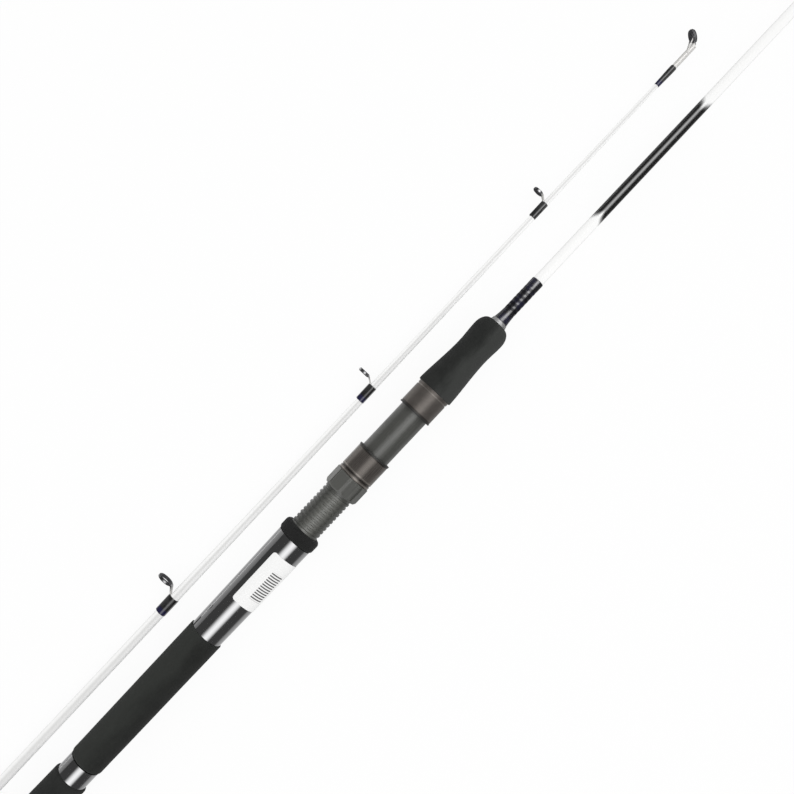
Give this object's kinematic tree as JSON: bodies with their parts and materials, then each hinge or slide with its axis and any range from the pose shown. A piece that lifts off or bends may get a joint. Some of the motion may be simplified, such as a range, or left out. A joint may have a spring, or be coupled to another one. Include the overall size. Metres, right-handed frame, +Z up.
{
  "type": "two-piece spinning fishing rod",
  "caption": "Two-piece spinning rod lying unplugged: foam handle with a screw-locking reel seat, white tapered blanks, single-foot line guides and a tip-top.",
  "frame": {"origin": "on the butt section's axis, midway between the mouths of the two reel-seat hoods", "axes": "+X along the rod towards the tip, +Z up and away from the reel foot, +Y towards the tip section that lies alongside"},
  "size_m": [1.407, 0.073, 0.0313],
  "materials": {
    "blank_white": "gloss painted glass fibre",
    "foam_grip": "matte closed-cell foam",
    "cap_rubber": "matte",
    "bright_metal": "polished",
    "arbor_foam": "matte",
    "label_paper": "matte paper",
    "graphite_plastic": "satin moulded",
    "hood_plastic": "satin moulded",
    "hood_metal": "satin",
    "varnished_thread": "gloss varnish over thread",
    "guide_steel": "polished",
    "guide_ceramic": "polished ceramic"
  },
  "bodies": {
    "butt_section": {"butt_blank": "blank_white", "butt_cap": "cap_rubber", "lower_grip": "foam_grip", "grip_ring": "bright_metal", "ring_bush": "arbor_foam", "upper_grip": "foam_grip", "chrome_tube": "bright_metal", "tube_bush_rear": "arbor_foam", "tube_bush_front": "arbor_foam", "paper_label": "label_paper", "seat_collar": "foam_grip", "reel_seat_barrel": "graphite_plastic", "seat_arbor_rear": "arbor_foam", "seat_arbor_front": "arbor_foam", "fixed_hood": "hood_plastic", "fixed_hood_band": "hood_metal", "foregrip": "foam_grip", "winding_check": "bright_metal", "handle_wrap": "varnished_thread"},
    "sliding_hood": {"sliding_hood": "hood_plastic", "sliding_hood_band": "hood_metal"},
    "locking_nut": {"locking_nut": "graphite_plastic"},
    "tip_section": {"tip_blank": "blank_white", "ferrule_sleeve": "blank_white", "ferrule_wrap": "varnished_thread", "tip_top_frame": "guide_steel", "tip_top_ring": "guide_ceramic", "tip_top_wrap": "varnished_thread", "guide_1_frame": "guide_steel", "guide_1_ring": "guide_ceramic", "guide_1_wrap": "varnished_thread", "guide_2_frame": "guide_steel", "guide_2_ring": "guide_ceramic", "guide_2_wrap": "varnished_thread", "guide_3_frame": "guide_steel", "guide_3_ring": "guide_ceramic", "guide_3_wrap": "varnished_thread", "guide_4_frame": "guide_steel", "guide_4_ring": "guide_ceramic", "guide_4_wrap": "varnished_thread", "guide_5_frame": "guide_steel", "guide_5_ring": "guide_ceramic", "guide_5_wrap": "varnished_thread"}
  },
  "joints": [
    {"name": "hood_slide", "type": "slide", "parent": "butt_section", "child": "sliding_hood", "axis": [1, 0, 0], "range_m": [-0.0301, 0.0031]},
    {"name": "nut_turn", "type": "hinge", "parent": "sliding_hood", "child": "locking_nut", "pos_m": [-0.04495, 0, 0], "axis": [1, 0, 0], "range_deg": [-3600, 360]},
    {"name": "ferrule_slide", "type": "slide", "parent": "butt_section", "child": "tip_section", "axis": [-1, 0, 0], "range_m": [0, 0.06]}
  ],
  "couplings": [
    {"joint": "hood_slide", "follows": "nut_turn", "m_per_rad": 0.00047746}
  ]
}
